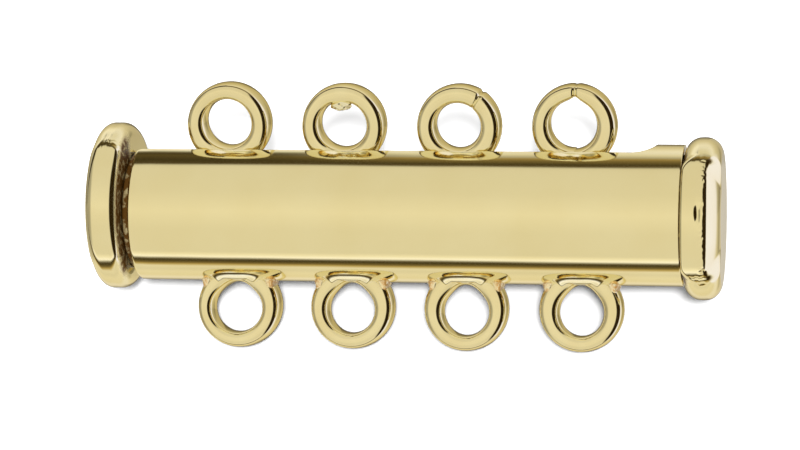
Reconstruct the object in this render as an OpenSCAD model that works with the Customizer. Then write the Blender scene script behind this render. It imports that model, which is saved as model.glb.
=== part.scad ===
/* [Sleeve] */
// Length over both end caps
overall_length = 26; // [25:0.5:28]
// Outside radius of the slotted sleeve
sleeve_r = 2.9; // [2.85:0.01:2.93]
// Wall of the sleeve and of the slide's tube
wall = 0.4; // [0.35:0.05:0.45]
// Rounding of the sleeve's open end
mouth_round = 0.12; // [0.05:0.01:0.15]
// Width of the slot that the slide's loops run in
slot_width = 2.5; // [2.45:0.05:2.8]
// Rounding of the corners at the slot's closed end
slot_corner = 0.55; // [0.3:0.05:0.9]
// Full tube left between the slot's closed end and the sleeve's cap
slot_land = 1.2; // [1.1:0.05:1.6]

/* [Slide] */
// Radial clearance between the slide's tube and the sleeve's bore
running_clearance = 0.06; // [0.03:0.01:0.1]
// Gap between the slide's cap and the sleeve's open end
cap_gap = 0.4; // [0.3:0.05:0.8]
// Gap at the stop inside the sleeve's closed end
stop_gap = 0.1; // [0.05:0.01:0.2]
// Roll of the slide towards the front, within the play of its slot
slide_roll = 9.5; // [0:0.5:9.5]

/* [Loops] */
// Number of strands, one loop on each side for each
strands = 4; // [2:1:4]
// Distance between neighbouring loops
loop_pitch = 4.79; // [4.5:0.01:4.9]
// Outside radius of a loop
loop_r = 1.68; // [1.65:0.01:1.75]
// Radius of a loop's hole
loop_hole_r = 1.05; // [1:0.01:1.1]
// Depth of a loop's flat wire, along the axis of its hole
loop_depth = 1.4; // [1.2:0.05:1.4]
// Rounding of the wire's corners
loop_round = 0.25; // [0.1:0.01:0.27]
// Distance from the sleeve's axis to the centre of its loops
sleeve_loop_reach = 4.01; // [4:0.01:4.1]
// Distance from the slide's axis to the middle of its row of loops
slide_loop_reach = 3.7; // [3.65:0.01:3.75]
// How much lower each of the slide's loops sits than the one on its left
slide_row_fall = 0.04; // [0:0.01:0.05]
// How far the sleeve's row of loops sits right of the middle
sleeve_row_shift = 0.11; // [-0.2:0.01:0.2]
// How far the slide's row of loops sits left of the middle
slide_row_shift = 0.21; // [0:0.01:0.4]
// Radius of the solder fillets between the sleeve and its loops
solder_r = 0.22; // [0.1:0.01:0.3]

/* [Caps] */
// Thickness of the slide's flange
slide_cap_thickness = 1.4; // [1.3:0.01:1.5]
// Thickness of the sleeve's flange
sleeve_cap_thickness = 1.53; // [1.3:0.01:1.6]
// Rounding of a flange's edges
cap_round = 0.45; // [0.3:0.01:0.5]
// Radius of the flange on the slide
slide_cap_r = 3.48; // [3.4:0.01:3.5]
// Radius of the flange on the sleeve
sleeve_cap_r = 3.323; // [3.3:0.001:3.5]
// How far the slide's flange sits off centre, towards the slide's loops
slide_cap_rise = 0.2; // [0:0.01:0.2]
// How far the sleeve's flange sits off centre, towards the sleeve's loops
sleeve_cap_drop = 0.11; // [0:0.01:0.15]
// Length of the plug that holds each cap in its tube
plug_length = 0.8; // [0.6:0.05:1]
// Gap between a plug and the tube around it
plug_gap = 0.02; // [0.01:0.01:0.03]
// Gap between a flange and the end of the tube that it closes
seat_gap = 0.03; // [0.01:0.01:0.05]

/* [Hidden] */
$fn = 96;
cut = 0.5;

bore_r = sleeve_r - wall;
slide_r = bore_r - running_clearance;
slide_bore_r = slide_r - wall;
slide_face = -overall_length / 2 + slide_cap_thickness;
sleeve_face = overall_length / 2 - sleeve_cap_thickness;
sleeve_start = slide_face + cap_gap;
sleeve_end = sleeve_face - seat_gap;
slide_start = slide_face + seat_gap;
slide_end = sleeve_face - plug_length - stop_gap;
slot_end = sleeve_face - slot_land;

// Where a solder fillet's circle sits, touching both the sleeve's surface
// and the loop's outer edge, as distances across and down from the axis.
solder_z = sleeve_r + solder_r;
solder_x = sqrt((loop_r + solder_r)^2 - (sleeve_loop_reach - solder_z)^2);
solder_end = sleeve_loop_reach
    - (sleeve_loop_reach - solder_z) * loop_r / (loop_r + solder_r);

// The closed clasp lies on the rims of its caps and on the tips of the
// sleeve's loops. Its roll from upright follows from the cap's radius and
// from where the rounded corner at a loop's tip sits, seen along the tube.
tip_reach = sleeve_loop_reach + loop_r - loop_round;
tip_side = loop_depth / 2 - loop_round;
tip_arm = norm([tip_reach, tip_side]);
function axis_height(roll) = slide_cap_r - slide_cap_rise * cos(roll);
function roll_at(height) = atan(tip_side / tip_reach) + acos((height - loop_round) / tip_arm);
function settled_roll(rounds, roll) =
    rounds == 0 ? roll : settled_roll(rounds - 1, roll_at(axis_height(roll)));
rest_roll = settled_roll(6, 60);
rest_height = axis_height(rest_roll);

// Half the difference between how far the loops reach to the front and to
// the back, which centres the lying clasp.
slide_tip_reach = slide_loop_reach + slide_row_fall * (strands - 1) / 2 + loop_r - loop_round;
front_reach = tip_reach * sin(rest_roll) + tip_side * cos(rest_roll) + loop_round;
back_reach = slide_tip_reach * sin(rest_roll - slide_roll)
    + tip_side * cos(rest_roll - slide_roll) + loop_round;
rest_shift = (front_reach - back_reach) / 2;

// Carries the upright clasp, its tube along X and its slot on top, to the
// way that it lies on a flat surface.
module lying() {
    translate([0, rest_shift, rest_height]) rotate([-rest_roll, 0, 0]) children();
}

// A round bar along X between two places.
module bar(start, end, r) {
    translate([start, 0, 0]) rotate([0, 90, 0]) cylinder(r = r, h = end - start);
}

// A rectangle from the origin with all four corners rounded.
module rounded_rectangle(w, h, r) {
    translate([r, 0]) square([w - 2 * r, h]);
    translate([0, r]) square([w, h - 2 * r]);
    for (x = [r, w - r], y = [r, h - r]) translate([x, y]) circle(r = r);
}

// A loop of flat wire, its hole along Y.
module loop() {
    rotate([90, 0, 0]) rotate_extrude()
        translate([loop_hole_r, -loop_depth / 2])
            rounded_rectangle(loop_r - loop_hole_r, loop_depth, loop_round);
}

// A row of loops along X above the axis, each a little lower than the one
// on its left.
module loop_row(reach, shift, fall) {
    middle = (strands - 1) / 2;
    for (i = [0 : strands - 1])
        translate([(i - middle) * loop_pitch + shift, 0, reach - (i - middle) * fall]) loop();
}

// The solder in the corners between the sleeve's upper side and one loop.
module solder() {
    side = 2 * tip_side + loop_round;
    difference() {
        translate([-solder_x, -side / 2, bore_r + wall / 2])
            cube([2 * solder_x, side, solder_end - bore_r - wall / 2]);
        for (x = [-solder_x, solder_x])
            translate([x, side, solder_z]) rotate([90, 0, 0])
                cylinder(r = solder_r, h = 2 * side);
        translate([0, side, sleeve_loop_reach]) rotate([90, 0, 0])
            cylinder(r = loop_hole_r, h = 2 * side);
    }
}

// A disc with rounded edges, its flat face on the plane of X and Y.
module flange(r, thickness) {
    rotate_extrude() {
        square([r - cap_round, thickness]);
        translate([r - thickness, 0]) rounded_rectangle(thickness, thickness, cap_round);
    }
}

// The slotted tube, rounded at its open end.
module sleeve_tube() {
    difference() {
        translate([sleeve_start, 0, 0]) rotate([0, 90, 0]) rotate_extrude() {
            translate([bore_r, mouth_round])
                square([wall, sleeve_end - sleeve_start - mouth_round]);
            translate([bore_r + mouth_round, 0]) square([wall - 2 * mouth_round, wall]);
            for (x = [bore_r + mouth_round, sleeve_r - mouth_round])
                translate([x, mouth_round]) circle(r = mouth_round);
        }
        translate([sleeve_start - cut, -slot_width / 2, 0])
            linear_extrude(height = sleeve_r + cut)
                rounded_rectangle(slot_end - sleeve_start + cut, slot_width, slot_corner);
        translate([sleeve_start - cut, -slot_width / 2, 0])
            cube([2 * slot_corner + cut, slot_width, sleeve_r + cut]);
    }
}

module sleeve() {
    color("gold") lying() {
        sleeve_tube();
        rotate([180, 0, 0]) {
            difference() {
                loop_row(sleeve_loop_reach, sleeve_row_shift, 0);
                bar(sleeve_start, sleeve_end, bore_r + wall / 2);
            }
            for (i = [0 : strands - 1])
                translate([(i - (strands - 1) / 2) * loop_pitch + sleeve_row_shift, 0, 0])
                    solder();
        }
    }
}

module sleeve_cap() {
    color("khaki") lying() {
        translate([sleeve_face, 0, -sleeve_cap_drop]) rotate([0, 90, 0])
            flange(sleeve_cap_r, sleeve_cap_thickness);
        bar(sleeve_face - plug_length, sleeve_face + wall, bore_r - plug_gap);
    }
}

module slide() {
    color("goldenrod") lying() rotate([slide_roll, 0, 0]) {
        difference() {
            union() {
                bar(slide_start, slide_end, slide_r);
                loop_row(slide_loop_reach, -slide_row_shift, slide_row_fall);
            }
            bar(slide_start - cut, slide_end + cut, slide_bore_r);
        }
    }
}

module slide_cap() {
    color("khaki") lying() {
        translate([slide_face, 0, slide_cap_rise]) rotate([0, -90, 0])
            flange(slide_cap_r, slide_cap_thickness);
        bar(slide_face - wall, slide_face + plug_length, slide_bore_r - plug_gap);
    }
}

sleeve();
sleeve_cap();
slide();
slide_cap();
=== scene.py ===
# %% [markdown]
# # A slide clasp of polished gold
# The clasp is a slotted tube, the sleeve, and a second tube, the slide, that
# runs inside it. Four loops stand on each, and a round cap closes one end of
# each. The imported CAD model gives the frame: its bodies, its joint and its
# sizes. This lesson dresses it with smooth surfaces that catch reflections
# the way polished metal does, because on gold the reflections are the colour.

import bpy
import numpy as np
from mathutils import Matrix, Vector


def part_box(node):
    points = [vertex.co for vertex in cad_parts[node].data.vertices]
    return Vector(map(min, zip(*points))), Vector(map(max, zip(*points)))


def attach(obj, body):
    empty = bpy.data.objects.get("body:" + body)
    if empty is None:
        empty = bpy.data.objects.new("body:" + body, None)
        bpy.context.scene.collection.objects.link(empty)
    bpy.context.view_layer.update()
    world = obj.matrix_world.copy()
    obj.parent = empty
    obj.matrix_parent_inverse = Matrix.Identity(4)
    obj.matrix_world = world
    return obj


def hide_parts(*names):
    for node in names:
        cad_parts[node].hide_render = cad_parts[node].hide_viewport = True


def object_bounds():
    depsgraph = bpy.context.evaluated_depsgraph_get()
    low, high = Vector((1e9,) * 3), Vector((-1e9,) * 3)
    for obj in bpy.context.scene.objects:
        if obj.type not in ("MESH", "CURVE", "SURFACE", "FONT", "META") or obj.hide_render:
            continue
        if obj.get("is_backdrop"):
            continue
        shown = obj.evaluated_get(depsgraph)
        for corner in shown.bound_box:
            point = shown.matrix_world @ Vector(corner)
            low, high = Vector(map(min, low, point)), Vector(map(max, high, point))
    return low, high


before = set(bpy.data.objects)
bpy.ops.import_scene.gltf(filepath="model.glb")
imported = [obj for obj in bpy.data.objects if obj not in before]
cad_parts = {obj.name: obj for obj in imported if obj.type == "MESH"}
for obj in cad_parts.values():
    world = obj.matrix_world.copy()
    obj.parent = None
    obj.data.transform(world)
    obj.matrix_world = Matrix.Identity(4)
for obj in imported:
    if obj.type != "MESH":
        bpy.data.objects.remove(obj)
cad_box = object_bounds()

# %% [markdown]
# ## One place to think, one place to lie
# Every form is easiest to describe on an upright clasp: the tube along X, the
# slot on top and the front towards -Y. The real clasp lies rolled back on its
# two flanges and on the tips of the lower loops. So each surface is worked out
# upright, in millimetres, and one function carries it to where it lies, in
# metres. The roll, the height and the shift are those of the CAD model.

# %% From upright millimetres to lying metres
REST_ROLL = np.radians(59.7501)
REST_HEIGHT = 3.37925
REST_SHIFT = 0.32396
MILLIMETRE = 0.001


def turn_about_x(points, angle):
    """Turn points about the X axis: y and z mix by the angle's sine and cosine."""
    x, y, z = np.moveaxis(np.asarray(points, float), -1, 0)
    c, s = np.cos(angle), np.sin(angle)
    return np.stack([x, c * y - s * z, s * y + c * z], -1)


def lie(points):
    """Roll an upright point back about X, lift and shift it, and give metres."""
    moved = turn_about_x(points, -REST_ROLL) + np.array([0, REST_SHIFT, REST_HEIGHT])
    return moved * MILLIMETRE


axis = lie([0, 0, 0])
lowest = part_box("slide_cap")[0].z
print("tube axis at y, z (mm):", np.round(axis[1:] / MILLIMETRE, 3))
print("slide cap's lowest point (mm):", round(lowest / MILLIMETRE, 4))

# %% [markdown]
# ## Grids become meshes
# A surface of two parameters is a grid of points. Neighbouring points make
# four-sided faces, and a grid that closes on itself joins its last row to its
# first. Where a column shrinks to one point, such as the middle of a disc, it
# is kept as a single vertex with triangles round it, so the mesh has no hole
# and no doubled point there. The volume inside tells which way the faces look:
# it comes out negative when they look inward, and then they are turned round.

# %% A helper from grid to mesh
def add_surface(name, grid, poles=False, **marks):
    """Make a mesh from a grid of points, rows by columns, closed both ways.

    Faces join each point to its neighbours in the next row and column. With
    poles, the columns don't close: the first and the last are each one point.
    The sum of a . (b x c) over all triangles is six times the volume. Marks
    are grids of numbers that the materials can read by name.
    """
    grid = np.asarray(grid, float)
    rows, columns = grid.shape[:2]
    index = np.arange(rows * columns).reshape(rows, columns)
    if poles:
        index[:, 0], index[:, -1] = 0, columns - 1
    after = np.roll(index, -1, 0)
    quads = np.stack([index, after, np.roll(after, -1, 1), np.roll(index, -1, 1)], -1)
    quads = quads[:, :-1] if poles else quads
    used, quads = np.unique(quads.reshape(-1, 4), return_inverse=True)
    quads = quads.reshape(-1, 4)
    points = grid.reshape(-1, 3)[used]
    a, b, c, d = (points[quads[:, k]] for k in range(4))
    volume = ((np.cross(a, b) * c).sum() + (np.cross(a, c) * d).sum()) / 6
    quads = quads if volume > 0 else quads[:, ::-1]
    near, far = quads[:, 0] == quads[:, 1], quads[:, 2] == quads[:, 3]
    faces = quads[~(near | far)].tolist()
    faces += quads[near][:, [0, 2, 3]].tolist() + quads[far][:, :3].tolist()
    mesh = bpy.data.meshes.new(name)
    mesh.from_pydata(lie(points), [], faces)
    mesh.polygons.foreach_set("use_smooth", np.ones(len(faces), bool))
    for mark, values in marks.items():
        layer = mesh.attributes.new(mark, "FLOAT", "POINT")
        at_points = np.broadcast_to(values, (rows, columns)).reshape(-1)[used]
        layer.data.foreach_set("value", at_points)
    mesh.update()
    piece = bpy.data.objects.new(name, mesh)
    bpy.context.scene.collection.objects.link(piece)
    print(f"{name}: {len(points)} points, {len(faces)} faces, {abs(volume):.1f} cubic mm")
    return piece


# %% [markdown]
# ## The camera
# The photo was taken with a long lens from about 12 cm away, 9.5 degrees round
# to the right and 1 degree up from the front. A camera at the same distance
# gives the same perspective. It is worked out upright and then goes back with
# the clasp as it lies. It looks a little past the tube's axis, because the
# axis isn't in the middle of the picture.

# %% Place the camera
CAMERA_AZIMUTH, CAMERA_ELEVATION, CAMERA_ROLL = np.radians([9.487, 1.0, 0.452])
CAMERA_DISTANCE = 122.4
FOCAL_PIXELS = 2955.6
PICTURE_WIDTH, PICTURE_HEIGHT = 800, 450
AXIS_PIXEL = (408.0, 212.75)

towards_camera = np.array([
    np.sin(CAMERA_AZIMUTH) * np.cos(CAMERA_ELEVATION),
    -np.cos(CAMERA_AZIMUTH) * np.cos(CAMERA_ELEVATION),
    np.sin(CAMERA_ELEVATION),
])
level_right = np.array([np.cos(CAMERA_AZIMUTH), np.sin(CAMERA_AZIMUTH), 0])
level_up = np.cross(towards_camera, level_right)
camera_right = np.cos(CAMERA_ROLL) * level_right + np.sin(CAMERA_ROLL) * level_up
camera_up = np.cross(towards_camera, camera_right)
per_pixel = CAMERA_DISTANCE / FOCAL_PIXELS
off_right, off_down = PICTURE_WIDTH / 2 - AXIS_PIXEL[0], PICTURE_HEIGHT / 2 - AXIS_PIXEL[1]
eye = towards_camera * CAMERA_DISTANCE
aim = camera_right * off_right * per_pixel - camera_up * off_down * per_pixel

back = (eye - aim) / np.linalg.norm(eye - aim)
right = camera_right - (camera_right @ back) * back
right /= np.linalg.norm(right)
up = np.cross(back, right)
directions = turn_about_x(np.stack([right, up, back]), -REST_ROLL)

lens = bpy.data.cameras.new("photo_camera")
lens.sensor_width = 36
lens.lens = FOCAL_PIXELS * lens.sensor_width / PICTURE_WIDTH
lens.clip_start, lens.clip_end = 0.005, 10
camera = bpy.data.objects.new("photo_camera", lens)
camera.matrix_world = Matrix.Translation(lie(eye)) @ Matrix(directions.T.tolist()).to_4x4()
bpy.context.scene.collection.objects.link(camera)
bpy.context.scene.camera = camera
height_angle = np.degrees(np.arcsin(directions[2][2]))
print(f"camera {height_angle:.1f} degrees above the horizon, lens {lens.lens:.0f} mm")

# %% [markdown]
# ## The sleeve's tube
# A tube with a slot is a sheet with thickness. Its sheet has two edges: the
# plain circle at the closed end, and one long outline that runs round the end
# of the slot, along the slot, round the corner and along the mouth. Lines from
# the circle to that outline cover the outside, a small bullnose takes them
# over the edge, and lines back cover the inside. The whole tube is then one
# grid that closes both ways, with the softly polished edges of the real one.

# %% The slot's outline, unrolled
SLEEVE_R, SLEEVE_BORE_R = 2.9, 2.5
SLEEVE_START, SLEEVE_END = -11.27, 11.44
SLOT_HALF, SLOT_END, SLOT_CORNER = 1.25, 10.2, 0.9
MOUTH_CORNER = 0.32
SLOT_ANGLE = np.arcsin(SLOT_HALF / SLEEVE_R)
BOTTOM = SLOT_HALF + SLEEVE_R * (np.pi - SLOT_ANGLE)


def line(start, end, count):
    """Points along a straight line, without its last one."""
    t = np.linspace(0, 1, count, endpoint=False)[:, None]
    return np.array(start) * (1 - t) + np.array(end) * t


def corner(centre, radius, first, last, count):
    """Points on an arc between two angles in degrees, without its last one."""
    a = np.radians(np.linspace(first, last, count, endpoint=False))[:, None]
    return np.array(centre) + radius * np.concatenate([np.cos(a), np.sin(a)], 1)


slot_centre = (SLOT_HALF - SLOT_CORNER, SLOT_END - SLOT_CORNER)
mouth_centre = (SLOT_HALF + MOUTH_CORNER, SLEEVE_START + MOUTH_CORNER)
legs = [
    line((0, SLOT_END), (slot_centre[0], SLOT_END), 12),
    corner(slot_centre, SLOT_CORNER, 90, 0, 24),
    line((SLOT_HALF, slot_centre[1]), (SLOT_HALF, mouth_centre[1]), 110),
    corner(mouth_centre, MOUTH_CORNER, 180, 270, 16),
    line((mouth_centre[0], SLEEVE_START), (BOTTOM, SLEEVE_START), 150),
    np.array([[BOTTOM, SLEEVE_START]]),
]
outline = np.concatenate(legs)
leg_ends = np.cumsum([len(leg) for leg in legs])
print("outline points:", len(outline))
print("slot half angle:", round(float(np.degrees(SLOT_ANGLE)), 1), "degrees")

# %% [markdown]
# The outline is drawn flat, as distance across the slot and distance along the
# tube. Rolled up, the slot keeps upright walls, so its angle grows towards the
# bore, while the rest of the circle is shared out evenly. At the closed end
# the lines from the slot's corners crowd together, just past the slot's width.

# %% Roll the outline up into the tube
EDGE_ROUND, BULLNOSE_POWER = 0.16, 0.8
BROKEN_EDGE, BROKEN_SHARE = 0.03, 0.003
PAST_SLOT = (0.15, 0.9, 1.1)


def rolled(across, along, radius):
    """Wrap flat points onto a circle of the given radius.

    Up to the slot's half width the angle is the arcsine of the distance over
    the radius. Beyond it, the angle grows evenly to half a turn at the bottom.
    """
    size = np.abs(across)
    slot_angle = np.arcsin(SLOT_HALF / radius)
    in_slot = np.arcsin(np.minimum(size, SLOT_HALF) / radius)
    share = np.clip((size - SLOT_HALF) / (BOTTOM - SLOT_HALF), 0, 1)
    angle = np.where(size < SLOT_HALF, in_slot, slot_angle + share * (np.pi - slot_angle))
    y = -np.sign(across) * radius * np.sin(angle)
    return np.stack([along, y, radius * np.cos(angle)], -1)


def edge_normals(path):
    """The direction into the metal along the outline, square to its course."""
    course = np.gradient(path, axis=0)
    course /= np.linalg.norm(course, axis=1, keepdims=True)
    inward = np.stack([-course[:, 1], course[:, 0]], 1)
    inward[0], inward[-1] = (0, 1), (0, 1)
    return inward


closed_end = np.interp(
    np.arange(len(outline)),
    [0, *leg_ends[1:4], len(outline) - 1],
    [0, *(SLOT_HALF + past for past in PAST_SLOT), BOTTOM],
)
inward = edge_normals(outline)
turn = np.linspace(0, np.pi, 15)
bull_in = EDGE_ROUND * (1 - np.abs(np.sin(turn)) ** BULLNOSE_POWER)
bull_out = np.sign(np.cos(turn)) * np.abs(np.cos(turn)) ** BULLNOSE_POWER
middle_r, half_wall = (SLEEVE_R + SLEEVE_BORE_R) / 2, (SLEEVE_R - SLEEVE_BORE_R) / 2


def sleeve_half(steps=34):
    """One half of the tube: outside, bullnose and inside along every line.

    The lines run from the closed end to the outline in shares of their way.
    Over the first, very short shares the closed end's sharp edge is broken.
    """
    far = np.stack([closed_end, np.full(len(outline), SLEEVE_END)], 1)[:, None]
    near = (outline + inward * EDGE_ROUND)[:, None]
    first_steps = [0, 0.0012, BROKEN_SHARE, 0.006, 0.012]
    t = np.concatenate([first_steps, np.linspace(0.025, 1, steps, endpoint=False)])
    broken = BROKEN_EDGE * np.clip(1 - t / BROKEN_SHARE, 0, 1)
    t = t[:, None]
    out_side = far * (1 - t) + near * t
    over = outline[:, None] + inward[:, None] * bull_in[None, :, None]
    flat = np.concatenate([out_side, over, out_side[:, ::-1]], 1)
    outer, inner = SLEEVE_R - broken, SLEEVE_BORE_R + broken
    return flat, np.concatenate([outer, middle_r + half_wall * bull_out, inner[::-1]])


flat, radius = sleeve_half()
front_half = rolled(flat[..., 0], flat[..., 1], radius)
back_half = rolled(-flat[..., 0], flat[..., 1], radius)[::-1][1:-1]
sleeve_tube = add_surface("sleeve_tube", np.concatenate([front_half, back_half]))

# %% [markdown]
# ## Loops of flattened wire
# Each loop is a flattened wire bent to a ring. The wire's section is made of
# arcs that flow into each other: a wide corner beside the face, a flank that
# bulges a little, and a smaller corner at the back.

# %% The wire's section
LOOP_R, LOOP_HOLE_R, LOOP_DEPTH = 1.75, 0.99, 1.38


def arc(x, y, radius, first, last, count=12):
    """Points on part of a circle: its centre plus radius times cosine and sine, in degrees."""
    a = np.radians(np.linspace(first, last, count))
    return np.stack([x + radius * np.cos(a), y + radius * np.sin(a)], 1)


def wire_section(half_width, half_depth, front=0.27, flank=2.7, back=0.2, turn=78):
    """Three arcs from the middle of the front face to the middle of the back, then mirrored.

    The front arc turns by the given angle. The centre of the next arc lies on
    the line through the first centre and the point where they meet, so the
    arcs share their direction there. The flank turns until the back arc,
    which goes on from it, reaches the full depth.
    """
    a = np.radians(turn)
    x1 = half_width - front * np.sin(a) - flank * (1 - np.sin(a))
    y1 = front - half_depth
    x2, y2 = x1 + (front - flank) * np.sin(a), y1 - (front - flank) * np.cos(a)
    b = np.arccos((y2 - half_depth + back) / (flank - back))
    x3, y3 = x2 + (flank - back) * np.sin(b), y2 - (flank - back) * np.cos(b)
    right = np.concatenate([
        arc(x1, y1, front, -90, turn - 90, 18),
        arc(x2, y2, flank, turn - 90, np.degrees(b) - 90, 12)[1:],
        arc(x3, y3, back, np.degrees(b) - 90, 90, 8)[1:],
    ])
    return np.concatenate([right, right[::-1] * (-1, 1)])


HALF_WIRE = ((LOOP_R - LOOP_HOLE_R) / 2, LOOP_DEPTH / 2)
SECTION = wire_section(*HALF_WIRE) / HALF_WIRE
print("wire", round(LOOP_R - LOOP_HOLE_R, 2), "x", LOOP_DEPTH, "mm, points:", len(SECTION))

# %% [markdown]
# Carried round a circle the section makes the ring. Where a ring stands in its
# tube, it is cut off level inside the wall, so nothing enters the bore. A hole
# that is a little oval, and bumps and hollows along the wire, make each ring
# look bent by hand.

# %% A ring, its hole and its place on the tube
LOOP_PITCH = 4.79


def ring(angles, inner=LOOP_HOLE_R, outer=LOOP_R, depth=LOOP_DEPTH):
    """A ring round Y, with x and z from its centre.

    At each angle from the crown the section's middle stands halfway between
    the inner and the outer radius, and sine and cosine carry it round.
    """
    sizes = (inner, outer, depth)
    inner, outer, depth = (np.broadcast_to(size, angles.shape)[:, None] for size in sizes)
    across, deep = SECTION.T
    radius = (outer + inner) / 2 + (outer - inner) / 2 * across
    x = radius * np.sin(angles)[:, None]
    z = radius * np.cos(angles)[:, None]
    return np.stack([x, depth / 2 * deep, z], -1)


def stand(points, x, reach, cut):
    """Set a ring above the axis at its reach, and cut it level inside the wall."""
    placed = points + np.array([x, 0, reach])
    placed[..., 2] = np.maximum(placed[..., 2], cut)
    return placed


around = np.linspace(-np.pi, np.pi, 360, endpoint=False)
places = (np.arange(4) - 1.5) * LOOP_PITCH


def bell(angles, centre, width, power=2):
    """A smooth bump of height 1: exp(-|distance / width| ^ power), in degrees."""
    return np.exp(-np.abs((angles - np.radians(centre)) / np.radians(width)) ** power)


def hole(radius, up, right, narrower):
    """An oval hole off the ring's middle: cosine and sine shift it, sine squared narrows it."""
    return radius + up * np.cos(around) + right * np.sin(around) - narrower * np.sin(around) ** 2


print("loops every", LOOP_PITCH, "mm, each of", len(around), "sections")

# %% [markdown]
# ## The loops of the sleeve
# These four point down and are soldered on, so they are mirrored downwards
# after they are made. They were soldered on by hand, so each stands a hair
# higher or further along than its neighbours. Their holes are not quite round
# either: the solder narrows them near the tube, so they look like eggs.

# %% Lower loops
SLEEVE_ROW_SHIFT = 0.11
SLEEVE_CUT = 2.62


def turned_down(points):
    """The mirror image below the axis: z changes sign, and the front stays in front."""
    return points * np.array([1, 1, -1])


# Each oval is a hole's shift up, its shift to the right and how much narrower it is.
lower_x = places + SLEEVE_ROW_SHIFT + (0.018, 0.015, -0.015, -0.035)
lower_reach = (3.935, 3.92, 3.93, 3.90)
lower_ovals = [(0.08, -0.07, -0.03), (0.08, -0.03, 0.045), (0.09, 0.0, 0.06), (0.075, 0.0, 0.09)]
from_crown = np.abs(around)
sleeve_pieces = [sleeve_tube]
for number, (x, reach, oval) in enumerate(zip(lower_x, lower_reach, lower_ovals), 1):
    inner = hole(LOOP_HOLE_R + 0.01, *oval)
    inner = inner - 0.04 * bell(from_crown, 135, 28) + 0.07 * bell(from_crown, 180, 32)
    shape = stand(ring(around, inner), x, reach, SLEEVE_CUT)
    sleeve_pieces.append(add_surface(f"sleeve_loop_{number}", turned_down(shape)))

# %% [markdown]
# ## The loops of the slide
# The upper loops stand on the slide's tube and come up through the slot. The
# slide has rolled forward as far as the slot lets it. No two loops were closed
# alike: the first is smooth, a crumpled bead of solder hangs in the second,
# the third shows an overlapping end, and the fourth closes in a point. Bells
# of the angle raise and sink the hole, the rim and the depth at those places.

# %% Upper loops
SLIDE_ROW_SHIFT, SLIDE_ROLL = -0.21, np.radians(9.5)
SLIDE_CUT = 2.2
holes = [
    hole(LOOP_HOLE_R - 0.02, 0.07, -0.015, 0.0),
    hole(LOOP_HOLE_R - 0.035, 0.055, -0.02, -0.015) - 0.10 * bell(around, -3, 20, 3),
    hole(LOOP_HOLE_R - 0.055, 0.035, -0.035, 0.01) + 0.03 * bell(around, 36, 2.5),
    hole(LOOP_HOLE_R - 0.005, 0.085, -0.045, 0.04)
    + 0.16 * bell(around, 3, 10, 1.5) + 0.05 * bell(around, 180, 60),
]
rims = [
    LOOP_R,
    LOOP_R,
    LOOP_R - 0.06 * bell(around, 34, 2.5),
    LOOP_R - 0.03 * bell(around, 2, 3),
]
depths = [
    LOOP_DEPTH,
    LOOP_DEPTH * (1 - 0.05 * bell(around, -4, 14)),
    LOOP_DEPTH * (1 - 0.10 * bell(around, 35, 2.2)),
    LOOP_DEPTH * (1 - 0.16 * bell(around, 2, 3)),
]
upper_x = places + SLIDE_ROW_SHIFT + (-0.04, 0.02, 0.03, 0.0)
upper_reach = (3.69, 3.65, 3.64, 3.67)
slide_pieces = []
for number, (x, reach, *form) in enumerate(zip(upper_x, upper_reach, holes, rims, depths), 1):
    shape = turn_about_x(stand(ring(around, *form), x, reach, SLIDE_CUT), SLIDE_ROLL)
    slide_pieces.append(add_surface(f"slide_loop_{number}", shape))

# %% [markdown]
# The bead in the second loop is a lump that set while it ran. It is a sphere
# of two angles whose radius swells and shrinks with a few waves, drawn out
# into a flat pillow that hangs from the top of the hole.

# %% The bead of solder
BEAD_FROM_LOOP, BEAD_HALF_SIZES = (-0.07, -0.24, 0.9), (0.43, 0.42, 0.25)


def bead_of_solder(middle, half_sizes, swelling=0.24, seed=4, count=72):
    """A sphere with a radius of 1 plus waves of both angles, scaled to its half sizes."""
    turn = np.linspace(0, 2 * np.pi, count * 2, endpoint=False)[:, None]
    rise = np.linspace(0, np.pi, count)[None]
    chance = np.random.default_rng(seed)
    swell = np.ones((count * 2, count))
    for waves in (2, 3, 4, 5, 7, 9):
        start, phase = chance.uniform(0, 2 * np.pi, 2)
        swell += (swelling / waves * np.sin(waves * turn + start)
                  * np.sin(waves * rise + phase) * np.sin(rise))
    ball = [np.sin(rise) * np.cos(turn), np.sin(rise) * np.sin(turn), np.cos(rise) + 0 * turn]
    return swell[..., None] * np.stack(ball, -1) * half_sizes + middle


second_loop = (upper_x[1], 0, upper_reach[1])
hang = bead_of_solder(np.add(second_loop, BEAD_FROM_LOOP), BEAD_HALF_SIZES)
slide_pieces.append(add_surface("slide_solder_bead", turn_about_x(hang, SLIDE_ROLL), poles=True))

# %% [markdown]
# ## Solder at the foot of each lower loop
# Solder has crept out from under each loop. On the front and on the back of
# the tube it rises in a hollow slope to a level top, and at the sides it
# climbs the ring a little. The pad is a height over the tube: for each point
# of an outline that shrinks to its middle, the height is worked out from how
# far along and how far round the point lies. The outline comes first.

# %% The outline of a pad
def smooth(value, low, high):
    """0 below low, 1 above high and 3t^2 - 2t^3 between them."""
    t = np.clip((value - low) / (high - low), 0, 1)
    return t * t * (3 - 2 * t)


def on_sleeve(y):
    """Height of the sleeve's surface above its axis, y to the side of it."""
    return np.sqrt(SLEEVE_R ** 2 - y ** 2)


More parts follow.
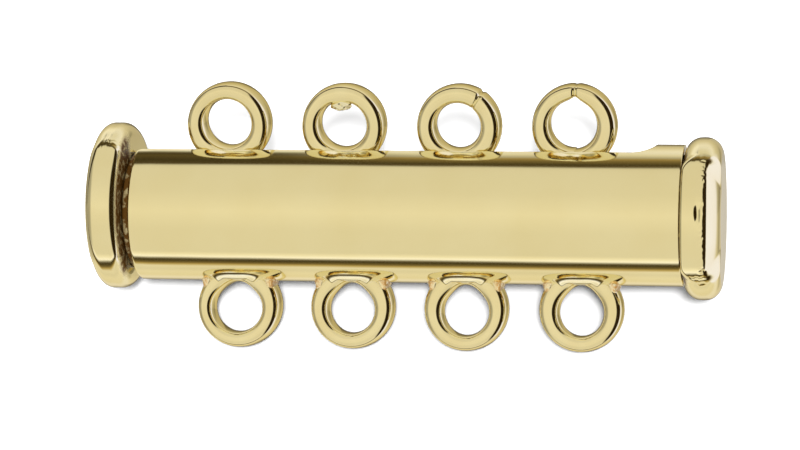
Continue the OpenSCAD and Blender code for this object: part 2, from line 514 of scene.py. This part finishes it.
def pad_outline(half_x, half_y, power_x, power_y, count):
    """A superellipse in even steps: cosine and sine, each raised to 2 over its power."""
    turn = np.linspace(0, 2 * np.pi, 4097)
    c, s = np.cos(turn), np.sin(turn)
    along = half_x * np.sign(c) * np.abs(c) ** (2 / power_x)
    across = half_y * np.sign(s) * np.abs(s) ** (2 / power_y)
    curve = np.stack([along, across], 1)
    run = np.concatenate([[0], np.cumsum(np.linalg.norm(np.diff(curve, axis=0), axis=1))])
    even = np.linspace(0, run[-1], count, endpoint=False)
    return np.stack([np.interp(even, run, column) for column in curve.T])


print("the sleeve's surface stands", on_sleeve(0), "mm above its axis on top")

# %% [markdown]
# The top of a pad has a shoulder on each side of the hole, where the solder
# stands highest. From there it falls to the ends of the pad, but never below
# a thin skin on the tube. Beyond the ring, solder climbs its outer side.

# %% Solder mounds
PAD_HALF_LENGTH, PAD_HALF_WIDTH, PAD_POWERS = 1.66, 1.42, (2.8, 2.2)
PAD_LEVEL, PAD_SKIN, PAD_CORNER = 2.8, 0.012, 0.04
SHOULDER_FOOT, SHOULDER, SHOULDER_RISE, SHOULDER_FALL = 0.45, 0.75, 0.13, 0.7
SLOPE, HOLLOW = 0.4, 1.5
FINER_AT_BORDER = 1.5
CLIMB_HEIGHT, CLIMB_START, CLIMB_FADE = 0.34, 0.05, 0.09
CLIMB_ALONG, CLIMB_ACROSS, CLIMB_BORDER = (1.1, 1.3), (0.78, 0.62), (0, 0.12)
STAIN_ALONG, STAIN_ACROSS = (1.0, 1.45), (1.1, 0.7)
TUCKED_IN = (0.97, 0.97, 0.98)


def solder_mound(x, reach, count=240, steps=72):
    """A pad over the tube's surface, its points on shrinking outlines from the border in.

    It rises by the slope times the way in from the border plus the hollow
    times its square, until it meets its top. The corner between them is
    rounded: half of the sum of both heights less the hypotenuse of their
    difference and the corner's size. The climb beyond the ring fades with the
    exponential of the distance.
    """
    outline_x, outline_y = pad_outline(PAD_HALF_LENGTH, PAD_HALF_WIDTH, *PAD_POWERS, count)
    share = (np.linspace(0, 1, steps) ** FINER_AT_BORDER)[None]
    px, py = outline_x[:, None] * (1 - share), outline_y[:, None] * (1 - share)
    border = share * np.hypot(outline_x, outline_y)[:, None]
    width, side = np.abs(px), np.abs(py)
    shoulder = SHOULDER_RISE * smooth(width, SHOULDER_FOOT, SHOULDER)
    level = PAD_LEVEL + shoulder - SHOULDER_FALL * np.maximum(width - SHOULDER, 0)
    level = np.maximum(level, on_sleeve(py) + PAD_SKIN)
    slope = on_sleeve(py) + SLOPE * border + HOLLOW * border ** 2
    top = (level + slope - np.hypot(level - slope, PAD_CORNER)) / 2
    foot_of_ring = np.sqrt(LOOP_R ** 2 - (reach - SLEEVE_R) ** 2)
    beyond = np.maximum(width - foot_of_ring - CLIMB_START, 0)
    climb = CLIMB_HEIGHT * np.exp(-beyond / CLIMB_FADE) * smooth(width, *CLIMB_ALONG)
    climb = climb * smooth(side, *CLIMB_ACROSS) * smooth(border, *CLIMB_BORDER)
    surface = np.stack([px, py, top + climb], -1)
    border_line = surface[:, :1]
    inside_wall = np.broadcast_to([0, 0, SLEEVE_CUT], border_line.shape)
    grid = np.concatenate([inside_wall, border_line * TUCKED_IN, surface], 1)
    stain = smooth(width, *STAIN_ALONG) * smooth(side, *STAIN_ACROSS)
    return grid + np.array([x, 0, 0]), np.concatenate([np.zeros((count, 2)), stain], 1)


for number, (x, reach) in enumerate(zip(lower_x, lower_reach), 1):
    mound, stain = solder_mound(x, reach)
    piece = add_surface(f"solder_{number}", turned_down(mound), poles=True, stain=stain)
    sleeve_pieces.append(piece)

# %% [markdown]
# ## The slide's tube
# A turned shape is a profile of distance along the axis and radius, carried
# round the axis. The slide's profile is a thin closed rectangle with its
# corners broken, as a file leaves them. Where the tube comes out of the
# sleeve, in the gap before the slide's cap, it is painted dark brown and
# patchy: painted shade.

# %% Turned shapes
def turned(profile, lift=0, count=256):
    """Carry x and radius round the X axis, each circle lifted by its own amount.

    The profile is one for the whole turn, or a row of them, one for each angle.
    """
    a = np.linspace(0, 2 * np.pi, count, endpoint=False)[:, None]
    x, r = np.moveaxis(np.broadcast_to(profile, (count, *np.shape(profile)[-2:])), -1, 0)
    return np.stack([x, -r * np.sin(a), r * np.cos(a) + lift], -1)


SLIDE_R, SLIDE_BORE_R = 2.44, 2.04
SLIDE_START, SLIDE_END = -11.57, 10.57
SOFT = 0.1
# Painted shade: the slide's tube is painted dark brown from this far inside the sleeve's mouth to
# just outside it.
GAP_SHADE_FADE = (0.3, -0.02)
slide_profile = np.concatenate([
    [[SLIDE_START, SLIDE_BORE_R + SOFT]],
    arc(SLIDE_START + SOFT, SLIDE_R - SOFT, SOFT, 180, 90),
    [[SLEEVE_START - 0.05, SLIDE_R], [SLEEVE_START + 0.2, SLIDE_R]],
    arc(SLIDE_END - SOFT, SLIDE_R - SOFT, SOFT, 90, 0),
    arc(SLIDE_END - SOFT, SLIDE_BORE_R + SOFT, SOFT, 0, -90),
    arc(SLIDE_START + SOFT, SLIDE_BORE_R + SOFT, SOFT, -90, -180),
])
# Painted shade on the tube in the gap at the sleeve's mouth.
gap_shade = smooth(slide_profile[:, 0], *(SLEEVE_START + past for past in GAP_SHADE_FADE))
slide_pieces.append(add_surface("slide_tube", turned(slide_profile), stain=gap_shade))

# %% [markdown]
# ## The two caps
# Each cap is a thick round flange on a plug, a little off centre: the slide's
# cap towards the upper loops, the sleeve's towards the lower ones. Wear has
# not rounded them evenly, so each has two profiles. One holds at the front,
# the other everywhere else, and between them the shape passes smoothly.

# %% A cap's profile
def flat_face(x, first, last, count=8):
    """Points at one place along the axis, from the first radius to the last."""
    return np.stack([np.full(count, x), np.linspace(first, last, count)], 1)


def edge(way, x, r, radius, first, last, count):
    """An arc round a centre at x and r, with its x mirrored where the way is -1."""
    return arc(0, 0, radius, first, last, count) * (way, 1) + (x, r)


def cap_profile(face, outer_face, flange_r, plug_r, plug_end,
                inner_round, edge_start, edge_round, edge_turn, clear=0.02):
    """A plug and a flange as one profile, from the plug's end to the middle of the outer face.

    The outer edge is an arc that turns by the edge's turn. A wider arc takes
    over there and ends flat at the outer face: its radius is the way that is
    left, divided by 1 minus the sine of the turn.
    """
    way = np.sign(outer_face - face)
    turn = np.radians(edge_turn)
    corner_x = edge_start + way * edge_round * np.sin(turn)
    corner_r = flange_r - edge_round * (1 - np.cos(turn))
    dome = abs(outer_face - corner_x) / (1 - np.sin(turn))
    a = np.linspace(turn, np.pi / 2, 40)[1:]
    wide_x = corner_x + way * dome * (np.sin(a) - np.sin(turn))
    wide_r = corner_r - dome * (np.cos(turn) - np.cos(a))
    rim = np.linspace(face + way * (inner_round + clear), edge_start - way * clear, 20)
    return np.concatenate([
        [[plug_end, 0]],
        flat_face(plug_end, 0.5, plug_r - SOFT, 4),
        edge(way, plug_end + way * SOFT, plug_r - SOFT, SOFT, 180, 90, 6),
        [[face, plug_r]],
        flat_face(face, plug_r + 0.12, flange_r - inner_round - clear),
        edge(way, face + way * inner_round, flange_r - inner_round, inner_round, 180, 90, 16),
        np.stack([rim, np.full(20, flange_r)], 1),
        edge(way, edge_start, flange_r - edge_round, edge_round, 90, 90 - edge_turn, 24),
        np.stack([wide_x, wide_r], 1),
        flat_face(outer_face, wide_r[-1] - 0.05, 0.1),
        [[outer_face, 0]],
    ])


slide_cap_size = dict(face=-11.6, outer_face=-12.96, flange_r=3.48, plug_r=2.02, plug_end=-10.8)
sleeve_cap_size = dict(face=11.47, outer_face=13, flange_r=3.323, plug_r=2.48, plug_end=10.67)
slide_cap_front = cap_profile(
    **slide_cap_size, inner_round=0.4, edge_start=-12.48, edge_round=0.47, edge_turn=88)
slide_cap_rest = cap_profile(
    **slide_cap_size, inner_round=0.55, edge_start=-12.42, edge_round=0.5, edge_turn=88)
sleeve_cap_front = cap_profile(
    **sleeve_cap_size, inner_round=0.12, edge_start=12.25, edge_round=0.34, edge_turn=58)
sleeve_cap_rest = cap_profile(
    **sleeve_cap_size, inner_round=0.7, edge_start=12.3, edge_round=0.7, edge_turn=88)
print("points on a cap's profile:", len(slide_cap_front))

# %% [markdown]
# Both rims bulge a little where the worn front meets the round part above it.
# The sleeve's cap was hammered onto its plug. That left a rough line along its
# outer edge, a few pits in the rim and a ragged crease low on the front. The
# line is a sum of short waves round the circle. Each dent is a bell of the
# angle and of the place along the axis, and a bulge is a dent turned outward.

# %% Caps with their marks
WORN_EDGE, WORN_WIDTH = 12.33, 0.1
FRONT_BLEND = (0.6, 0.8)
PAST_PLUG, INNER_SIDE = 0.1, 0.35
# Painted shade on each flange's inner side, in the gap beside the tube: where it starts and is
# full below the rim, and towards the front.
GAP_SHADE_BELOW_RIM, GAP_SHADE_FRONT = (0.13, 0.3), (0.3, 0.55)
# Angle and half angle in degrees, place and half length along the axis, and depth.
SLIDE_CAP_DENTS = [
    (44, 7, -12.15, 0.6, -0.08), (41, 1.3, -12.0, 0.3, 0.012), (44.5, 1.2, -11.95, 0.25, 0.012),
    (48, 1.2, -12.1, 0.3, -0.008),
]
SLEEVE_CAP_DENTS = [
    (44, 7, 12.1, 0.6, -0.04), (85.5, 6.5, 12.17, 0.11, 0.09), (80, 1.6, 12.3, 0.08, 0.025),
    (104, 1.3, 12.3, 0.09, 0.022), (135, 1.3, 12.1, 0.35, 0.022), (129, 1.4, 12.38, 0.12, 0.03),
    (141, 1.2, 12.3, 0.12, 0.02), (63, 1.4, 12.32, 0.08, 0.02),
]


def rough(angles, seed=7):
    """Short waves with chance phases, added up and divided by their number's root."""
    waves = np.arange(17, 115, 7)
    phases = np.random.default_rng(seed).uniform(0, 2 * np.pi, len(waves))
    return np.sin(angles[..., None] * waves + phases).sum(-1) / np.sqrt(len(waves))


def dent(angles, x, middle, half_angle, place, half_length, depth):
    """A bell sunk in at an angle in degrees from the top and at a place along the axis."""
    off = (np.degrees(angles) - middle) / half_angle
    return depth * np.exp(-off ** 2 - ((x - place) / half_length) ** 2)


def cap(front, rest, lift, plug_r, wear, dents, count=600):
    """Two profiles that pass into each other, less the wear and the dents.

    The sine of the angle is 1 at the front, and says which profile holds and
    where the painted shade lies: dark brown patches on the flange's inner
    side from just below the rim, in the gap beside the tube.
    The flange is lifted off centre and the plug isn't. Two waves along the
    axis move the angle a little, so that no dent has a straight line.
    """
    a = np.linspace(0, 2 * np.pi, count, endpoint=False)[:, None]
    to_front = smooth(np.sin(a), *FRONT_BLEND)[..., None]
    x, r = np.moveaxis(front * to_front + rest * (1 - to_front), -1, 0)
    worn = wear * rough(a) * np.exp(-((x - WORN_EDGE) / WORN_WIDTH) ** 2) * to_front[..., 0]
    wavering = a + 0.009 * np.sin(23 * x) + 0.006 * np.sin(57 * x)
    for mark in dents:
        worn = worn + dent(wavering, x, *mark)
    face = front[:, 0][np.argmax(front[:, 1] > plug_r + PAST_PLUG)]
    rim = front[:, 1].max()
    inner_side = (np.arange(len(front)) < len(front) // 2) & (np.abs(x - face) < INNER_SIDE)
    # Painted shade: dark brown on the flange's inner side below the rim, towards the front.
    below_rim = smooth(r, *(rim - way for way in GAP_SHADE_BELOW_RIM))
    stain = np.where(inner_side, below_rim * smooth(np.sin(a), *GAP_SHADE_FRONT), 0)
    on_flange = np.clip((front[:, 1] - plug_r) / PAST_PLUG, 0, 1)
    on_flange[len(front) // 2:] = 1
    return turned(np.stack([x, r - worn], -1), lift * on_flange, count), stain


slide_cap, stain = cap(
    slide_cap_front, slide_cap_rest, lift=0.2, plug_r=2.02, wear=0, dents=SLIDE_CAP_DENTS)
slide_pieces.append(add_surface("slide_cap_flange", slide_cap, poles=True, stain=stain))
sleeve_cap, stain = cap(
    sleeve_cap_front, sleeve_cap_rest, lift=-0.11, plug_r=2.48, wear=0.007,
    dents=SLEEVE_CAP_DENTS)
sleeve_pieces.append(add_surface("sleeve_cap_flange", sleeve_cap, poles=True, stain=stain))

# %% [markdown]
# ## Polished gold
# Gold has no colour of its own beyond what it reflects, tinted. The shader is
# a metal with a pale warm tint, and everything else is texture: long shallow
# waves left by the polishing wheel, fine lines along the tube, a stain on the
# solder and painted shade in the gaps beside the caps. Each of these is a
# small group of nodes that all the materials share. A few helpers make groups
# and nodes.

# %% Helpers for nodes
def new_group(name, inputs, outputs):
    """An empty shader node group with named inputs and outputs."""
    group = bpy.data.node_groups.new(name, "ShaderNodeTree")
    for direction, sockets in (("INPUT", inputs), ("OUTPUT", outputs)):
        for label, kind, *value in sockets:
            socket = group.interface.new_socket(label, in_out=direction, socket_type=kind)
            if value:
                socket.default_value = value[0]
    return group, group.nodes.new("NodeGroupInput"), group.nodes.new("NodeGroupOutput")


def add_node(tree, kind, inputs=None, **options):
    """A node with its options set, and each input given a value or joined to an output."""
    node = tree.nodes.new("ShaderNode" + kind)
    for option, value in options.items():
        setattr(node, option, value)
    for label, value in (inputs or {}).items():
        if isinstance(value, bpy.types.NodeSocket):
            tree.links.new(value, node.inputs[label])
        else:
            node.inputs[label].default_value = value
    return node


def reckon(tree, operation, *values, kind="Math", **options):
    """A node that does one sum on numbers or outputs, given back as its own output."""
    return add_node(tree, kind, dict(enumerate(values)), operation=operation, **options).outputs[0]


def mixed(tree, amount, first, second):
    """One colour where the amount is 0 and the other where it is 1."""
    return add_node(tree, "Mix", {0: amount, 6: first, 7: second}, data_type="RGBA").outputs[2]


# %% [markdown]
# The first group is the polish. One noise gives long waves and a finer one
# gives lines, both drawn out along the tube by dividing the X coordinate.

# %% Waves and lines left by polishing
def polishing_waves():
    """Long waves and fine lines along the tube, as a height in metres."""
    group, given, result = new_group(
        "polishing_waves",
        [("Wave length", "NodeSocketFloat", 0.0016), ("Stretch", "NodeSocketFloat", 4.0),
         ("Wave height", "NodeSocketFloat", 3e-6), ("Line height", "NodeSocketFloat", 2e-8)],
        [("Height", "NodeSocketFloat")])
    place = add_node(group, "TexCoord").outputs["Object"]
    stretch = add_node(group, "CombineXYZ", {0: given.outputs["Stretch"], 1: 1, 2: 1}).outputs[0]
    drawn_out = reckon(group, "DIVIDE", place, stretch, kind="VectorMath")
    shrunk = reckon(group, "DIVIDE", drawn_out, given.outputs["Wave length"], kind="VectorMath")
    waves = add_node(group, "TexNoise", {"Vector": shrunk, "Scale": 1, "Detail": 1.5}).outputs[0]
    lines = add_node(group, "TexNoise", {"Vector": shrunk, "Scale": 24, "Detail": 3}).outputs[0]
    big = reckon(group, "MULTIPLY", waves, given.outputs["Wave height"])
    both = reckon(group, "MULTIPLY_ADD", lines, given.outputs["Line height"], big)
    group.links.new(both, result.inputs["Height"])
    return group


waves_group = polishing_waves()
print("group:", waves_group.name, "with", len(waves_group.nodes), "nodes")

# %% [markdown]
# The second group is the metal's tone. Cloudy noise moves it a little between
# a pale and a deeper gold. Where a piece is marked, finer noise breaks the mark
# into patches: a stain on the solder, and painted shade in the gaps beside the
# caps. These patches are brown, dull and hardly metallic.

# %% Tone and gloss
GLOSS_CHANGE, PATCH_CONTRAST = 0.04, 3
# Painted shade and the solder's stain: how much rougher and how much less metallic their patches
# are.
PATCH_DULL, PATCH_LESS_METAL = 0.2, 0.85


def gold_tone():
    """A pale and a deep gold mixed by slow noise, and a gloss that varies with it.

    The patches are the finer noise times its contrast plus the cover, kept
    between 0 and 1, times the mark. They add to the roughness and take away
    from the metal.
    """
    group, given, result = new_group(
        "gold_tone",
        [("Pale", "NodeSocketColor", (0.98, 0.85, 0.46, 1)),
         ("Deep", "NodeSocketColor", (0.91, 0.75, 0.35, 1)),
         # Dark brown for the painted shade in the gaps beside the caps; the solder gives its own
         # stain colour.
         ("Stained", "NodeSocketColor", (0.075, 0.033, 0.006, 1)),
         ("Stain", "NodeSocketFloat", 0.0), ("Cover", "NodeSocketFloat", -1.0),
         ("Cloud size", "NodeSocketFloat", 0.003), ("Gloss", "NodeSocketFloat", 0.07)],
        [("Color", "NodeSocketColor"), ("Roughness", "NodeSocketFloat"),
         ("Metal", "NodeSocketFloat")])
    place = add_node(group, "TexCoord").outputs["Object"]
    shrunk = reckon(group, "DIVIDE", place, given.outputs["Cloud size"], kind="VectorMath")
    cloud = add_node(group, "TexNoise", {"Vector": shrunk, "Scale": 1, "Detail": 3}).outputs[0]
    spot = add_node(group, "TexNoise", {"Vector": shrunk, "Scale": 9, "Detail": 4}).outputs[0]
    clean = mixed(group, cloud, given.outputs["Pale"], given.outputs["Deep"])
    gloss = reckon(group, "MULTIPLY_ADD", cloud, GLOSS_CHANGE, given.outputs["Gloss"])
    patchy = reckon(
        group, "MULTIPLY_ADD", spot, PATCH_CONTRAST, given.outputs["Cover"], use_clamp=True)
    amount = reckon(group, "MULTIPLY", patchy, given.outputs["Stain"])
    colour = mixed(group, amount, clean, given.outputs["Stained"])
    dull = reckon(group, "MULTIPLY_ADD", amount, PATCH_DULL, gloss)
    metal = reckon(group, "MULTIPLY_ADD", amount, -PATCH_LESS_METAL, 1)
    group.links.new(colour, result.inputs["Color"])
    group.links.new(dull, result.inputs["Roughness"])
    group.links.new(metal, result.inputs["Metal"])
    return group


tone_group = gold_tone()
print("group:", tone_group.name, "with", len(tone_group.nodes), "nodes")

# %% [markdown]
# A material is then a metal shader with these groups on its colour, its
# roughness and its bump. The tube was drawn, the loops were bent, the caps
# were hammered and the solder ran, so each kind of piece has its own waves.

# %% One gold for each kind of piece
def gold(name, edge_tint, tone, waves):
    """A metal shader whose colour, roughness and bump come from the shared groups.

    The edge tint is what the metal keeps where it is seen at a low angle.
    """
    material = bpy.data.materials.new(name)
    material.use_nodes = True
    tree = material.node_tree
    shader = tree.nodes["Principled BSDF"]
    shader.inputs["Specular Tint"].default_value = (*edge_tint, 1)
    shader.inputs["Specular IOR Level"].default_value = 0.06
    # The mark holds the solder's stain and the painted shade in the gaps beside the caps.
    stain = add_node(tree, "Attribute", attribute_name="stain").outputs["Fac"]
    surface = add_node(tree, "Group", node_tree=tone_group, inputs={**tone, "Stain": stain})
    polish = add_node(tree, "Group", node_tree=waves_group, inputs=waves)
    bump = add_node(tree, "Bump", {"Distance": 1, "Height": polish.outputs["Height"]})
    tree.links.new(surface.outputs["Color"], shader.inputs["Base Color"])
    tree.links.new(surface.outputs["Roughness"], shader.inputs["Roughness"])
    tree.links.new(surface.outputs["Metal"], shader.inputs["Metallic"])
    tree.links.new(bump.outputs[0], shader.inputs["Normal"])
    return material


tube_gold = gold("tube_gold", (0.97, 0.88, 0.66), {"Cover": -0.4}, {"Wave height": 1e-5})
loop_gold = gold(
    "loop_gold", (0.85, 0.72, 0.42), {"Deep": (0.88, 0.71, 0.32, 1), "Cloud size": 0.0012},
    {"Wave length": 0.0009, "Stretch": 1.0, "Wave height": 3e-6})
cap_gold = gold(
    "cap_gold", (0.92, 0.84, 0.64), {"Cover": -0.4, "Cloud size": 0.002},
    {"Wave length": 0.0012, "Stretch": 1.0, "Wave height": 3e-6})
solder_gold = gold(
    "solder_gold", (0.97, 0.88, 0.66),
    {"Pale": (0.98, 0.9, 0.6, 1), "Stained": (0.3, 0.16, 0.045, 1),
     "Cloud size": 0.001, "Cover": -0.7},
    {"Wave length": 0.0006, "Stretch": 1.0, "Wave height": 4e-6})
golds = {"solder": solder_gold, "loop": loop_gold, "flange": cap_gold, "tube": tube_gold}
for piece in sleeve_pieces + slide_pieces:
    piece.data.materials.append(next(m for word, m in golds.items() if word in piece.name))
print("golds:", [m.name for m in golds.values()])

# %% [markdown]
# ## A tent of light
# Polished metal shows the room. The room here is a tent of even, soft light
# with two dark gaps that run the length of the tube, one above and one below.
# They draw the long dark lines at its top and bottom. Beside each gap the
# light is strongest, which gives the lines their bright borders. The tent is
# worked out upright, as an angle round the tube's axis: 0 degrees is the
# front, 90 is above and -90 is below. Each band has an angle, a brightness
# and a tint, and the upper gap is wider at the left end of the tube.

# %% The tent's bands
TENT_LIGHT = 0.885
EVEN, COOL, WARM = TENT_LIGHT * np.array([(1, 1, 1), (1.0, 1.04, 1.25), (1.15, 0.9, 0.4)])
LOWER_BANDS = [
    (-180, 0.75, EVEN), (-162, 0.9, EVEN), (-152, 1.0, COOL), (-144, 1.0, COOL),
    (-135, 0.93, EVEN), (-122, 0.95, EVEN), (-112, 0.86, EVEN), (-104, 0.94, EVEN),
    (-99, 0.5, WARM), (-95, 0.17, WARM), (-90, 0.06, WARM), (-87, 0.08, WARM),
    (-84.5, 0.4, EVEN), (-81.5, 1.25, COOL), (-76, 1.05, EVEN), (-71, 0.87, EVEN),
    (-30, 0.88, EVEN), (0, 0.97, EVEN),
]
UPPER_RIGHT = [
    (0, 0.97, EVEN), (34, 0.86, EVEN), (74, 0.83, EVEN), (81, 0.8, EVEN),
    (85, 0.09, WARM), (89, 0.06, WARM), (93, 0.12, WARM), (98, 0.19, WARM),
    (103, 0.34, WARM), (108, 0.54, EVEN), (114, 0.85, EVEN), (121, 0.95, COOL),
    (128, 1.0, COOL), (142, 0.8, EVEN), (155, 0.68, EVEN), (180, 0.6, EVEN),
]
UPPER_LEFT = [
    (0, 0.97, EVEN), (34, 0.86, EVEN), (74, 0.83, EVEN), (82, 0.8, EVEN),
    (86, 0.07, WARM), (94, 0.05, WARM), (104, 0.09, WARM), (112, 0.06, WARM),
    (116, 0.4, EVEN), (120, 1.0, COOL), (128, 1.1, COOL), (142, 0.8, EVEN),
    (155, 0.68, EVEN), (180, 0.6, EVEN),
]
print("tent bands:", len(LOWER_BANDS), "below and", len(UPPER_RIGHT), "above")

# %% [markdown]
# The tent is the world's background. Its nodes take the direction of each
# ray, turn it upright, and read from it how far along the tube, how far behind
# it and how far above it the ray points. A few helpers do sums with that.

# %% Sums on a ray's direction
world = bpy.data.worlds.new("light_tent")
bpy.context.scene.world = world
world.use_nodes = True
sky = world.node_tree
sky.nodes.clear()


def times(first, second):
    """One number or output multiplied by another."""
    return reckon(sky, "MULTIPLY", first, second)


def without(value):
    """What is left of 1 when the value is taken away."""
    return reckon(sky, "SUBTRACT", 1.0, value)


def between(value, low, high):
    """0 below low, 1 above high and a smooth step between them."""
    ends = {"Value": value, "From Min": low, "From Max": high}
    return add_node(sky, "MapRange", ends, interpolation_type="SMOOTHSTEP").outputs[0]


heading = add_node(sky, "TexCoord").outputs["Generated"]
upright = add_node(
    sky, "VectorRotate", {"Vector": heading, "Angle": REST_ROLL}, rotation_type="X_AXIS")
along, behind, above = add_node(sky, "SeparateXYZ", {0: upright.outputs[0]}).outputs
turn_angle = reckon(sky, "ARCTAN2", above, times(behind, -1.0))
print("the tent is turned upright by", round(float(np.degrees(REST_ROLL)), 2), "degrees")

# %% [markdown]
# The bands become colour ramps over the angle round the axis. A ramp for the
# upper half passes into the other one left of the tube's middle.

# %% Bands become light
LEFT_BANDS_FROM, LEFT_BANDS_ONLY = -0.155, -0.215


def band_ramp(bands, low, high):
    """A ramp over the turn angle, in degrees, with a brightness and a tint at each place."""
    from_low = reckon(sky, "SUBTRACT", turn_angle, np.radians(low))
    share = reckon(sky, "DIVIDE", from_low, np.radians(high - low))
    node = add_node(sky, "ValToRGB", {0: share})
    elements = node.color_ramp.elements
    for place, *_ in bands[1:-1]:
        elements.new((place - low) / (high - low))
    for element, (place, bright, tint) in zip(elements, bands):
        element.position = (place - low) / (high - low)
        element.color = (*(bright * tint), 1)
    return node.outputs[0]


to_left = between(along, LEFT_BANDS_FROM, LEFT_BANDS_ONLY)
upper = mixed(sky, to_left, band_ramp(UPPER_RIGHT, 0, 180), band_ramp(UPPER_LEFT, 0, 180))
in_upper_half = reckon(sky, "GREATER_THAN", above, 0.0)
gaps = mixed(sky, in_upper_half, band_ramp(LOWER_BANDS, -180, 0), upper)
print("world nodes so far:", len(sky.nodes))

# %% [markdown]
# Five more things stand in the tent. A dark post to the right of the camera
# draws the dark line along the edge of every rim and loop. A cool light behind
# it on the right bleaches the outer side of the right cap. The far left is
# dim, and so is the tent straight behind, which gives every silhouette its
# thin outline. One strip behind stays bright: the far faces of the caps show
# it. Gold seen in gold would turn orange, but in the photo it stays pale. So
# light that reaches the eye over two pieces of gold starts out cooler.

# %% Post, side light and dim back
POST_COLOUR = (0.022, 0.013, 0.003, 1)
SIDE_COLOUR = (0.97, 1.05, 1.7, 1)
FIRST_TINT, SECOND_TINT = (1, 1, 1, 1), (1.04, 1.22, 2.0, 1)
BACK_DIM, LEFT_DIM = 0.7, 0.5

post = times(between(along, 0.44, 0.6), between(behind, 0.2, 0.05))
side_light = times(between(along, 0.5, 0.64), between(behind, 0.08, 0.3))
lit = mixed(sky, post, mixed(sky, side_light, gaps, SIDE_COLOUR), POST_COLOUR)
strip = times(between(along, 0.02, 0.05), between(along, 0.36, 0.29))
dim_back = times(times(between(behind, 0.82, 1.0), BACK_DIM), without(strip))
far_left = times(between(along, -0.62, -0.9), LEFT_DIM)
shade = times(without(far_left), without(dim_back))
ray = add_node(sky, "LightPath").outputs
second = between(ray["Glossy Depth"], 1.0, 2.0)
bounce_tint = mixed(sky, second, FIRST_TINT, SECOND_TINT)
cooler = reckon(sky, "MULTIPLY", lit, bounce_tint, kind="VectorMath")
tent = add_node(sky, "Background", {"Color": cooler, "Strength": shade})
print("world nodes with the post and the lights:", len(sky.nodes))

# %% [markdown]
# The tent is what the gold shows. The floor is lit by plain white light
# instead, and gold that stands in the way of that light only shades the floor,
# so the shadow stays neutral.

# %% White light for the floor
PLAIN_LIGHT = 1.1
from_gold = ray["Is Glossy Ray"]
plain_strength = times(without(from_gold), PLAIN_LIGHT)
plain = add_node(sky, "Background", {"Color": (1, 1, 1, 1), "Strength": plain_strength})
missed_floor = reckon(sky, "LESS_THAN", ray["Diffuse Depth"], 0.5)
choice = add_node(
    sky, "MixShader",
    {0: times(from_gold, missed_floor), 1: plain.outputs[0], 2: tent.outputs[0]})
add_node(sky, "OutputWorld", {"Surface": choice.outputs[0]})
print("world nodes:", len(sky.nodes))

# %% [markdown]
# ## Floor and soft key light
# A plain white floor catches the soft shadow. The key light stands close to
# the camera, a little above it, so only a narrow soft shadow shows below the
# tube, the caps and the loops. Neither the floor nor the lamp shows in the
# gold.

# %% Floor and key
FLOOR_HALF = 0.6
KEY_ENERGY, KEY_ANGLE = 3.5, np.radians(10.5)
KEY_UP, KEY_LEFT = 0.085, 0.01

corners = [(-1, -1, 0), (1, -1, 0), (1, 1, 0), (-1, 1, 0)]
floor_mesh = bpy.data.meshes.new("floor")
floor_mesh.from_pydata(np.multiply(corners, FLOOR_HALF).tolist(), [], [(0, 1, 2, 3)])
floor = bpy.data.objects.new("floor", floor_mesh)
bpy.context.scene.collection.objects.link(floor)
white = bpy.data.materials.new("floor_white")
white.use_nodes = True
paint = white.node_tree.nodes["Principled BSDF"]
paint.inputs["Base Color"].default_value = (0.9, 0.9, 0.9, 1)
paint.inputs["Roughness"].default_value = 1
paint.inputs["Specular IOR Level"].default_value = 0
floor_mesh.materials.append(white)
floor.visible_glossy = False
floor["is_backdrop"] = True

key = bpy.data.lights.new("soft_key", "SUN")
key.energy = KEY_ENERGY
key.angle = KEY_ANGLE
lamp = bpy.data.objects.new("soft_key", key)
from_lamp = directions[2] + KEY_UP * directions[1] - KEY_LEFT * directions[0]
from_lamp /= np.linalg.norm(from_lamp)
side = np.cross([0, 0, 1], from_lamp)
side /= np.linalg.norm(side)
lamp_axes = np.stack([side, np.cross(from_lamp, side), from_lamp], 1)
lamp.matrix_world = Matrix(lamp_axes.tolist()).to_4x4()
lamp.visible_glossy = False
bpy.context.scene.collection.objects.link(lamp)
bpy.context.scene.view_settings.view_transform = "Standard"
lamp_height = np.degrees(np.arcsin(from_lamp[2]))
print(f"key light {lamp_height:.1f} degrees above the horizon")

# %% [markdown]
# ## Ride and replace
# Every piece rides on the body that carries it, so the slide pulls out of the
# sleeve with its loops and its cap. Each group of pieces stands for its CAD
# solids, which then are hidden.

# %% Hand the pieces to the frame
for body, pieces in (("sleeve", sleeve_pieces), ("slide", slide_pieces)):
    for piece in pieces:
        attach(piece, body)
        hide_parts(f"{body}_cap" if "flange" in piece.name else body)
print("riding:", len(sleeve_pieces), "on the sleeve,", len(slide_pieces), "on the slide")

# %% Both boxes and their largest difference
boxes = {"cad": [list(c) for c in cad_box], "visual": [list(c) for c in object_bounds()]}
difference = float(np.abs(np.subtract(boxes["cad"], boxes["visual"])).max())
print("largest difference (mm):", round(difference / MILLIMETRE, 4))
